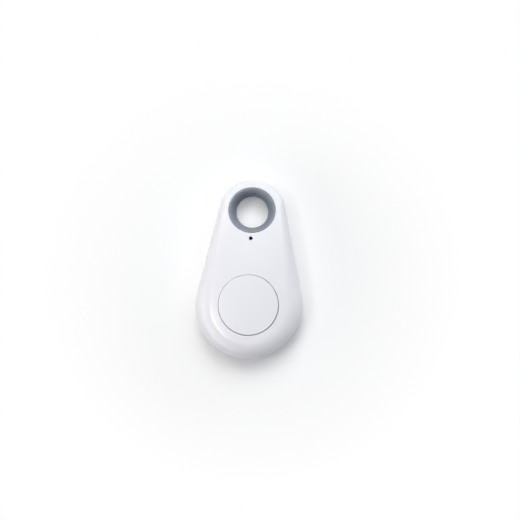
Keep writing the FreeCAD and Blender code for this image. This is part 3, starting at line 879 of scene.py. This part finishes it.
def metalGrain():
    # rolled sheet: fine lines along x, with soft stains
    inputs = {
        "Tone": (0.6, 0.6, 0.6, 1.0), "Tone Spread": 0.1, "Roughness": 0.3,
        "Roughness Spread": 0.1, "Line Scale": 1000.0, "Turn": 0.0,
    }
    tree, get, sink = shaderGroup("metalGrain", inputs, surfaceOutputs)
    links = {"Vector": objectCoords(tree), "Angle": get["Turn"]}
    turned = addNode(tree, "ShaderNodeVectorRotate", links, rotation_type="Z_AXIS").outputs[0]
    lines = noise(tree, get["Line Scale"], 3.0, 0.6, coords=turned, stretch=(0.03, 1.0, 1.0))
    stains = noise(tree, 300.0, 4.0, 0.6, shift=(4, 8, 2))
    shade = sway(tree, stains, get["Tone Spread"], 1.0)
    shade = sway(tree, lines, calc(tree, "MULTIPLY", get["Tone Spread"], 0.6), shade)
    return endGroup(tree, sink, {
        "Color": scaled(tree, get["Tone"], shade),
        "Roughness": sway(tree, stains, get["Roughness Spread"], get["Roughness"], 0.45),
        "Height": lines,
    })


skinGroup = mouldedSkin()
marksGroup = handlingMarks()
grainGroup = metalGrain()


def wornLip(tree, color, look):
    # pale specks and short rubbed strokes where a key ring runs over the lip
    height = axes(tree, objectCoords(tree))[2]
    band = spread(tree, height, 0.0, 1.0, look["from"] * mm, look["to"] * mm)
    specks = noise(tree, look["speckScale"], 2.0, 0.6, shift=(5, 2, 8))
    specks = spread(tree, specks, 0.0, 1.0, *look["speckRange"])
    strokes = noise(tree, look["strokeScale"], 2.0, 0.5, shift=(2, 9, 4), stretch=(1.0, 1.0, 0.15))
    strokes = spread(tree, strokes, 0.0, look["strokeShare"], *look["strokeRange"])
    rubbed = calc(tree, "MULTIPLY", band, calc(tree, "MAXIMUM", specks, strokes))
    return mixed(tree, calc(tree, "MULTIPLY", rubbed, look["amount"]), color, look["pale"])


def rubbedSurface(name, look, group, more):
    # one of the surface groups with handling marks over it
    material, tree, shader = newMaterial(name)
    skin = groupNode(tree, group, {
        "Tone": look["tone"], "Tone Spread": look["toneSpread"], "Roughness": look["rough"],
        "Roughness Spread": look["roughSpread"], **more,
    })
    rubs = {"Amount": look["marks"], "Length Scale": look["markScale"]}
    marks = groupNode(tree, marksGroup, rubs)
    rough = calc(tree, "ADD", skin.outputs["Roughness"], marks.outputs[0])
    color = skin.outputs["Color"]
    if "wear" in look:
        color = wornLip(tree, color, look["wear"])
    tree.links.new(color, shader.inputs["Base Color"])
    tree.links.new(rough, shader.inputs["Roughness"])
    bumpFrom(tree, shader, skin.outputs["Height"], look["bump"], look["depth"])
    return material, shader


def mouldedPlastic(name, look):
    grain = {"Grain Scale": look["grainScale"]}
    material, shader = rubbedSurface(name, look, skinGroup, grain)
    shader.inputs["IOR"].default_value = look["ior"]
    return material


def rolledMetal(name, look):
    lines = {"Line Scale": look["lineScale"], "Turn": look["turn"]}
    material, shader = rubbedSurface(name, look, grainGroup, lines)
    shader.inputs["Metallic"].default_value = 1.0
    return material


def boardLaminate(name):
    # under a green mask, tracks along x in some fields and along y in others; bare laminate edges
    material, tree, shader = newMaterial(name)
    b = board
    coords = objectCoords(tree)
    links = {"Vector": coords, "Scale": b["cell"] / mm}
    field = addNode(tree, "ShaderNodeTexVoronoi", links, distance="CHEBYCHEV")
    pick = axes(tree, field.outputs["Color"])
    spot = axes(tree, coords)
    along = calc(tree, "GREATER_THAN", pick[0], 0.5)
    across = addNode(tree, "ShaderNodeMix", {0: along, 2: spot[0], 3: spot[1]}).outputs[0]
    phase = calc(tree, "MULTIPLY_ADD", across, 1 / (b["trackPitch"] * mm), pick[1])
    gap = calc(tree, "ABSOLUTE", calc(tree, "SUBTRACT", calc(tree, "FRACT", phase), 0.5))
    line = calc(tree, "LESS_THAN", gap, b["trackWidth"])
    flooded = calc(tree, "GREATER_THAN", pick[2], b["floodFrom"])
    tracks = calc(tree, "MAXIMUM", line, flooded)
    links = {"Vector": coords, "Scale": b["weave"], "Distortion": b["weaveBend"]}
    cloth = addNode(tree, "ShaderNodeTexWave", links).outputs[0]
    tint = spread(tree, cloth, *b["weaveTint"], 0.0, 1.0)
    green = scaled(tree, mixed(tree, tracks, b["maskGreen"], b["trackGreen"]), tint)
    normal = axes(tree, addNode(tree, "ShaderNodeTexCoord").outputs["Normal"])[2]
    side = calc(tree, "LESS_THAN", calc(tree, "ABSOLUTE", normal), 0.5)
    marks = groupNode(tree, marksGroup, {"Amount": b["marks"], "Length Scale": b["markScale"]})
    rough = calc(tree, "MULTIPLY_ADD", side, b["edgeRough"], b["rough"])
    tree.links.new(mixed(tree, side, green, b["laminate"]), shader.inputs["Base Color"])
    tree.links.new(calc(tree, "ADD", rough, marks.outputs[0]), shader.inputs["Roughness"])
    bumpFrom(tree, shader, tracks, b["bump"], b["depth"])
    return material


def lampGlass(name, look):
    material, tree, shader = newMaterial(name)
    skin = groupNode(tree, skinGroup, {
        "Tone": look["tone"], "Tone Spread": look["toneSpread"], "Roughness": look["rough"],
        "Roughness Spread": look["roughSpread"], "Grain Scale": look["grainScale"],
    })
    tree.links.new(skin.outputs["Color"], shader.inputs["Base Color"])
    tree.links.new(skin.outputs["Roughness"], shader.inputs["Roughness"])
    bumpFrom(tree, shader, skin.outputs["Height"], look["bump"], look["depth"])
    shader.inputs["Transmission Weight"].default_value = look["clear"]
    shader.inputs["IOR"].default_value = look["ior"]
    return material


whiteLook = {
    "tone": (0.84, 0.84, 0.882, 1.0), "toneSpread": 0.02, "roughSpread": 0.05,
    "grainScale": 2600.0, "bump": 0.15, "depth": 0.00002, "marks": 0.03, "ior": 1.5,
}
plasticLooks = {
    "whiteHousing": {**whiteLook, "rough": 0.2, "markScale": 130.0},
    "whiteButton": {**whiteLook, "rough": 0.24, "markScale": 110.0},
    "greyEye": {
        "tone": (0.25, 0.277, 0.328, 1.0), "toneSpread": 0.05, "rough": 0.5, "roughSpread": 0.1,
        "grainScale": 5200.0, "bump": 0.3, "depth": 0.00002,
        "marks": 0.06, "markScale": 150.0, "ior": 1.45,
        "wear": {
            "from": 6.5, "to": 9.2, "speckScale": 1600.0, "speckRange": (0.59, 0.66),
            "strokeScale": 1100.0, "strokeRange": (0.5, 0.72), "strokeShare": 0.3,
            "amount": 0.38, "pale": (0.55, 0.58, 0.63, 1.0),
        },
    },
    "blackSwitch": {
        "tone": (0.018, 0.018, 0.02, 1.0), "toneSpread": 0.2, "rough": 0.42, "roughSpread": 0.12,
        "grainScale": 6000.0, "bump": 0.35, "depth": 0.00002,
        "marks": 0.05, "markScale": 400.0, "ior": 1.5,
    },
    "blackBuzzer": {
        "tone": (0.022, 0.022, 0.023, 1.0), "toneSpread": 0.2, "rough": 0.55, "roughSpread": 0.12,
        "grainScale": 7000.0, "bump": 0.5, "depth": 0.00003,
        "marks": 0.08, "markScale": 300.0, "ior": 1.5,
    },
    "chipResin": {
        "tone": (0.03, 0.031, 0.033, 1.0), "toneSpread": 0.3, "rough": 0.5, "roughSpread": 0.18,
        "grainScale": 9000.0, "bump": 0.6, "depth": 0.00003,
        "marks": 0.04, "markScale": 500.0, "ior": 1.55,
    },
    "tanCeramic": {
        "tone": (0.42, 0.3, 0.18, 1.0), "toneSpread": 0.25, "rough": 0.45, "roughSpread": 0.2,
        "grainScale": 9000.0, "bump": 0.5, "depth": 0.00002,
        "marks": 0.0, "markScale": 500.0, "ior": 1.6,
    },
    "darkCeramic": {
        "tone": (0.03, 0.028, 0.03, 1.0), "toneSpread": 0.3, "rough": 0.3, "roughSpread": 0.15,
        "grainScale": 9000.0, "bump": 0.4, "depth": 0.00002,
        "marks": 0.0, "markScale": 500.0, "ior": 1.6,
    },
    "greyFerrite": {
        "tone": (0.07, 0.068, 0.066, 1.0), "toneSpread": 0.35, "rough": 0.6, "roughSpread": 0.2,
        "grainScale": 5000.0, "bump": 0.8, "depth": 0.00004,
        "marks": 0.05, "markScale": 400.0, "ior": 1.6,
    },
    "lampBase": {
        "tone": (0.78, 0.77, 0.72, 1.0), "toneSpread": 0.05, "rough": 0.4, "roughSpread": 0.1,
        "grainScale": 9000.0, "bump": 0.3, "depth": 0.00001,
        "marks": 0.0, "markScale": 500.0, "ior": 1.55,
    },
    "cellGasket": {
        "tone": (0.6, 0.6, 0.57, 1.0), "toneSpread": 0.08, "rough": 0.45, "roughSpread": 0.1,
        "grainScale": 5000.0, "bump": 0.3, "depth": 0.00002,
        "marks": 0.05, "markScale": 300.0, "ior": 1.5,
    },
    "cellPellet": {
        "tone": (0.12, 0.12, 0.125, 1.0), "toneSpread": 0.4, "rough": 0.8, "roughSpread": 0.15,
        "grainScale": 4000.0, "bump": 0.9, "depth": 0.00005,
        "marks": 0.0, "markScale": 300.0, "ior": 1.5,
    },
}
plastics = {name: mouldedPlastic(name, look) for name, look in plasticLooks.items()}

metalLooks = {
    "springSteel": {
        "tone": (0.62, 0.61, 0.58, 1.0), "toneSpread": 0.12, "rough": 0.28, "roughSpread": 0.16,
        "lineScale": 1500.0, "turn": 0.0, "bump": 0.25, "depth": 0.00001,
        "marks": 0.12, "markScale": 260.0,
    },
    "tinSolder": {
        "tone": (0.66, 0.66, 0.65, 1.0), "toneSpread": 0.25, "rough": 0.26, "roughSpread": 0.25,
        "lineScale": 700.0, "turn": 0.6, "bump": 0.3, "depth": 0.00002,
        "marks": 0.0, "markScale": 300.0,
    },
    "canSteel": {
        "tone": (0.7, 0.69, 0.66, 1.0), "toneSpread": 0.1, "rough": 0.24, "roughSpread": 0.12,
        "lineScale": 2500.0, "turn": 0.3, "bump": 0.2, "depth": 0.00001,
        "marks": 0.15, "markScale": 500.0,
    },
    "goldPad": {
        "tone": (0.83, 0.62, 0.28, 1.0), "toneSpread": 0.15, "rough": 0.3, "roughSpread": 0.2,
        "lineScale": 1800.0, "turn": 0.9, "bump": 0.3, "depth": 0.00001,
        "marks": 0.2, "markScale": 700.0,
    },
    "trackCopper": {
        "tone": (0.72, 0.41, 0.24, 1.0), "toneSpread": 0.3, "rough": 0.36, "roughSpread": 0.25,
        "lineScale": 1200.0, "turn": 1.2, "bump": 0.4, "depth": 0.00002,
        "marks": 0.1, "markScale": 500.0,
    },
    "discBrass": {
        "tone": (0.75, 0.56, 0.26, 1.0), "toneSpread": 0.2, "rough": 0.34, "roughSpread": 0.2,
        "lineScale": 900.0, "turn": 0.2, "bump": 0.3, "depth": 0.00001,
        "marks": 0.15, "markScale": 400.0,
    },
    "cellSteel": {
        "tone": (0.66, 0.655, 0.64, 1.0), "toneSpread": 0.04, "rough": 0.3, "roughSpread": 0.08,
        "lineScale": 1000.0, "turn": 0.1, "bump": 0.08, "depth": 0.00001,
        "marks": 0.06, "markScale": 180.0,
    },
}
metals = {name: rolledMetal(name, look) for name, look in metalLooks.items()}
solderMask = boardLaminate("solderMask")
clearLamp = lampGlass("clearLamp", {
    "tone": (0.93, 0.93, 0.9, 1.0), "toneSpread": 0.03, "rough": 0.12, "roughSpread": 0.06,
    "grainScale": 6000.0, "bump": 0.15, "depth": 0.00001, "clear": 0.85, "ior": 1.53,
})
print("materials done:", len(bpy.data.materials))


def dress(piece, material):
    piece.data.materials.clear()
    piece.data.materials.append(material)


record = frame["record"]
bodyOf = {node: body for body, members in record["behaviour"]["bodies"].items() for node in members}


def settle(piece, material, *replaced, body=None):
    # finish and body for a new piece, with the solids it stands in for hidden
    first = replaced[0] if replaced else None
    if material:
        dress(piece, material)
    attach(piece, body or bodyOf[first])
    if replaced:
        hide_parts(*replaced)
    return piece


white, whiteCap, grey = plastics["whiteHousing"], plastics["whiteButton"], plastics["greyEye"]
shell = settle(buildFrontShell(), white, "front_cover")
settle(buildButton(), whiteCap, "button_cap")
settle(buildEye(grey), None, "ring_grommet")
settle(growPosts(white, shell), None, "front_cover")
settle(growRibs(whiteCap), None, "button_cap")
dress(nodes["rear_cover"], white)
print("housing, button and eye done")


bevel = {"flatAngle": 2, "sharpAngle": 35, "segments": 2, "profile": 0.5}


def soften(node, material, width):
    # a solid's own form with its edges rounded
    mesh = bmesh.new()
    mesh.from_mesh(nodes[node].data)
    bmesh.ops.remove_doubles(mesh, verts=mesh.verts, dist=weldMetres)
    flat, sharp = math.radians(bevel["flatAngle"]), math.radians(bevel["sharpAngle"])
    bmesh.ops.dissolve_limit(mesh, angle_limit=flat, verts=mesh.verts, edges=mesh.edges)
    edges = [e for e in mesh.edges if len(e.link_faces) == 2 and e.calc_face_angle() > sharp]
    bmesh.ops.bevel(mesh, geom=edges, offset=width * mm, segments=bevel["segments"],
                    profile=bevel["profile"], affect="EDGES", clamp_overlap=True)
    bmesh.ops.scale(mesh, vec=(1 / mm, 1 / mm, 1 / mm), verts=mesh.verts)
    words = node.split("_")
    name = words[0] + "".join(word.capitalize() for word in words[1:])
    return settle(finishMesh(mesh, name, weld=0.0005), material, node)


def turnedPiece(name, profile, x, y, count=160):
    mesh = bmesh.new()
    bridge(mesh, [circleRing(x, y, max(radius, 0.001), z, count) for radius, z in profile])
    return finishMesh(mesh, name)


def rounded(corners, radius, steps=4):
    # a profile with its marked corners turned on small arcs
    points = []
    for i, corner in enumerate(corners):
        x, z, share = corner
        if not share:
            points.append((x, z))
            continue
        here = Vector((x, z))
        before = Vector(corners[i - 1][:2]) - here
        after = Vector(corners[(i + 1) % len(corners)][:2]) - here
        reach = radius * share
        start, end = here + before.normalized() * reach, here + after.normalized() * reach
        for step in range(steps + 1):
            s = step / steps
            spot = start.lerp(here, s).lerp(here.lerp(end, s), s)
            points.append((spot.x, spot.y))
    return points


cell = {
    "radius": 10.0, "bottom": 1.85, "height": 3.2, "step": 0.4, "wall": 0.25, "cap": 8.85,
    "gasket": 0.3, "round": 0.3,
}


def buildCell():
    c = cell
    low, top, wall = c["bottom"], c["bottom"] + c["height"], c["wall"]
    rim, outer, cap = top - c["step"], c["radius"], c["cap"]
    sill = cap + c["gasket"]
    canShape = rounded([
        (0, low, 0), (outer, low, 1), (outer, rim, 0.8), (sill, rim, 0.4), (sill, rim - wall, 0),
        (outer - wall, rim - wall, 0), (outer - wall, low + wall, 0), (0, low + wall, 0),
    ], c["round"])
    capShape = rounded([
        (0, top - wall, 0), (cap - wall, top - wall, 0), (cap - wall, low + wall, 0),
        (cap, low + wall, 0), (cap, top, 1.3), (0, top, 0),
    ], c["round"])
    settle(turnedPiece("cellCan", canShape, 0, tailY), metals["cellSteel"], "cell_can")
    settle(turnedPiece("cellCap", capShape, 0, tailY), metals["cellSteel"], "cell_cap")
    dress(nodes["cell_gasket"], plastics["cellGasket"])
    dress(nodes["cell_pellet"], plastics["cellPellet"])


buildCell()

dome = {"thickness": 0.08, "count": 64, "steps": 10, "pressed": 0.4}


def buildDome():
    # pressed steel disc, domed, made to the size of its solid
    low, high = (Vector(corner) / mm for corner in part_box("switch_dome"))
    x, y = (low.x + high.x) / 2, (low.y + high.y) / 2
    radius, rise, wall = (high.x - low.x) / 2, high.z - low.z, dome["thickness"]
    steps = [step / dome["steps"] for step in range(dome["steps"] + 1)]
    under = [((radius - wall) * s, low.z + (rise - wall) * (1 - s * s)) for s in steps]
    over = [(radius * s, low.z + rise * (1 - s * s)) for s in reversed(steps)]
    disc = turnedPiece("switchDome", under + over, x, y, dome["count"])
    piece = settle(disc, metals["springSteel"], "switch_dome")
    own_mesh(piece)


buildDome()

softened = {
    "main_board": (solderMask, 0.04),
    "switch_base": (plastics["blackSwitch"], 0.08),
    "switch_cover": (metals["springSteel"], 0.05),
    "switch_legs": (metals["tinSolder"], 0.04),
    "buzzer_case": (plastics["blackBuzzer"], 0.15),
    "buzzer_base": (plastics["chipResin"], 0.06),
    "buzzer_pins": (metals["tinSolder"], 0.04),
    "bluetooth_chip": (plastics["chipResin"], 0.07),
    "crystal_base": (plastics["tanCeramic"], 0.05),
    "crystal_can": (metals["canSteel"], 0.12),
    "inductor_body": (plastics["greyFerrite"], 0.12),
    "capacitor_bodies": (plastics["tanCeramic"], 0.05),
    "resistor_bodies": (plastics["darkCeramic"], 0.04),
    "chip_terminals": (metals["tinSolder"], 0.05),
    "lamp_base": (plastics["lampBase"], 0.04),
    "lamp_lens": (clearLamp, 0.08),
    "battery_clip": (metals["springSteel"], 0.06),
    "negative_contact": (metals["springSteel"], 0.03),
}
for node, (material, width) in softened.items():
    soften(node, material, width)
for node, material in {
    "antenna_trace": metals["trackCopper"],
    "board_pads": metals["goldPad"],
    "switch_stem": plastics["blackSwitch"],
    "buzzer_disc": metals["discBrass"],
}.items():
    dress(nodes[node], material)
settle(growPins(metals["tinSolder"]), None, "chip_pins")
drops = settle(growSolder(metals["tinSolder"]), None, body="front_housing")
print("board parts and cell done")

# floor, light and camera
studio = {
    "floorSize": 1.6,
    "floorDrop": 0.00005,
    "floorTone": (0.86, 0.86, 0.86, 1.0),
    "floorGlow": 0.11,
    "fadeStart": 0.028,
    "fadeEnd": 0.062,
    # painted light on the floor under the eye: its strength, reach and spot
    "paintedHoleLight": 0.3,
    "holeReach": 0.008,
    "holeSpot": (-0.0018, -0.0004),
    "worldLight": 0.02,
    # azimuth and elevation in degrees, power in watts, width and height in metres, tint,
    # and the part of the shading that it lights
    "lamps": {
        "topLamp": (90, 64, 3.7, 0.6, 0.6, "plain", "matt"),
        "farTopLamp": (90, 44, 3.8, 0.6, 0.6, "plain", "matt"),
        "farRightLamp": (45, 45, 2.5, 0.6, 0.6, "cool", "both"),
        "rightLamp": (5, 62, 0.9, 0.6, 0.6, "cool", "matt"),
        "cornerLamp": (135, 50, 1.6, 0.5, 0.5, "plain", "both"),
        "leftLamp": (192, 60, 2.0, 0.55, 0.3, "plain", "matt"),
        "overLamp": (180, 80, 1.4, 0.7, 0.7, "plain", "matt"),
        "lowLeftLamp": (216, 14, 5.8, 2.0, 0.6, "plain", "both"),
        "lowRightLamp": (45, 12, 2.2, 0.8, 0.5, "cool", "both"),
        "rimLamp": (211, 61.5, 2.5, 0.5, 0.045, "plain", "gloss"),
    },
    "tints": {"plain": (1.0, 0.99, 0.985), "cool": (0.87, 0.945, 1.0)},
    "lampDistance": 1.2,
    "aim": (0.0027, 0.00264, 0.005),
    "tilt": 6.6,
    "azimuth": 14.4,
    "roll": -2.02,
    "distance": 0.3,
    "lens": 71.65,
    "sensor": 36,
    "clipStart": 0.01,
}


def cameraRays(tree):
    path = addNode(tree, "ShaderNodeLightPath").outputs
    seen = calc(tree, "MAXIMUM", path["Is Camera Ray"], path["Is Glossy Ray"])
    return calc(tree, "MAXIMUM", seen, path["Is Transmission Ray"])


def addLamp(name, azimuth, elevation, power, width, height, tint, part):
    light = bpy.data.lights.new(name, "AREA")
    light.shape = "ELLIPSE"
    light.size = width
    light.size_y = height
    light.energy = power
    light.color = studio["tints"][tint]
    turn, rise = math.radians(azimuth), math.radians(elevation)
    way = Vector((math.cos(turn) * math.cos(rise), math.sin(turn) * math.cos(rise), math.sin(rise)))
    piece = bpy.data.objects.new(name, light)
    piece.location = way * studio["lampDistance"]
    piece.rotation_euler = way.to_track_quat("Z", "Y").to_euler()
    piece.visible_diffuse, piece.visible_glossy = part != "gloss", part != "matt"
    bpy.context.scene.collection.objects.link(piece)


def buildFloor():
    s = studio
    mesh = bmesh.new()
    bmesh.ops.create_grid(mesh, x_segments=8, y_segments=8, size=s["floorSize"])
    data = bpy.data.meshes.new("floor")
    mesh.to_mesh(data)
    mesh.free()
    data.transform(Matrix.Translation((0, 0, -s["floorDrop"])))
    floor = bpy.data.objects.new("floor", data)
    bpy.context.scene.collection.objects.link(floor)
    material, tree, shader = newMaterial("paleFloor")
    tree.nodes.remove(shader)
    matt = addNode(tree, "ShaderNodeBsdfDiffuse", {"Color": s["floorTone"]}).outputs[0]
    seen = cameraRays(tree)
    coords = objectCoords(tree)
    # painted light: an emission for camera and gloss rays brightens the floor under the eye,
    # strongest at a spot left of the eye's centre
    x, y = s["holeSpot"]
    links = {0: coords, 1: (x, eyeY * mm + y, 0.0)}
    away = addNode(tree, "ShaderNodeVectorMath", links, operation="DISTANCE").outputs["Value"]
    lift = spread(tree, away, s["floorGlow"] + s["paintedHoleLight"], s["floorGlow"], 0.0, s["holeReach"])
    links = {"Strength": calc(tree, "MULTIPLY", seen, lift)}
    glow = addNode(tree, "ShaderNodeEmission", links).outputs[0]
    both = addNode(tree, "ShaderNodeAddShader", {0: matt, 1: glow}).outputs[0]
    # plain white further out, for the same rays as the lift
    reach = addNode(tree, "ShaderNodeVectorMath", {0: coords}, operation="LENGTH").outputs["Value"]
    fade = spread(tree, reach, 0.0, 1.0, s["fadeStart"], s["fadeEnd"])
    fade = calc(tree, "MULTIPLY", fade, seen)
    white = addNode(tree, "ShaderNodeEmission", {"Strength": 1.0}).outputs[0]
    ground = addNode(tree, "ShaderNodeMixShader", {0: fade, 1: both, 2: white}).outputs[0]
    tree.links.new(ground, tree.nodes["Material Output"].inputs["Surface"])
    data.materials.append(material)


def buildWorld():
    world = bpy.data.worlds.new("studio")
    world.use_nodes = True
    tree = world.node_tree
    background = tree.nodes["Background"]
    background.inputs["Color"].default_value = (1, 1, 1, 1)
    strength = spread(tree, cameraRays(tree), studio["worldLight"], 1.0, 0.0, 1.0)
    tree.links.new(strength, background.inputs["Strength"])
    bpy.context.scene.world = world


def buildCamera():
    s = studio
    tilt, azimuth, roll = (math.radians(s[k]) for k in ("tilt", "azimuth", "roll"))
    lean = math.sin(tilt)
    back = Vector((math.sin(azimuth) * lean, -math.cos(azimuth) * lean, math.cos(tilt)))
    up = (Vector((0, 1, 0)) - back * back.y).normalized()
    right = up.cross(back)
    up = up * math.cos(roll) + right * math.sin(roll)
    right = up.cross(back)
    camera = bpy.data.cameras.new("camera")
    camera.lens = s["lens"]
    camera.sensor_width = s["sensor"]
    camera.clip_start = s["clipStart"]
    view = bpy.data.objects.new("camera", camera)
    place = Vector(s["aim"]) + back * s["distance"]
    view.matrix_world = Matrix((
        (right.x, up.x, back.x, place.x),
        (right.y, up.y, back.y, place.y),
        (right.z, up.z, back.z, place.z),
        (0, 0, 0, 1),
    ))
    bpy.context.scene.collection.objects.link(view)
    bpy.context.scene.camera = view


def buildStudio():
    buildFloor()
    buildWorld()
    for name, values in studio["lamps"].items():
        addLamp(name, *values)
    buildCamera()


buildStudio()
bpy.context.scene.view_settings.view_transform = "Standard"
print("floor, light and camera done")
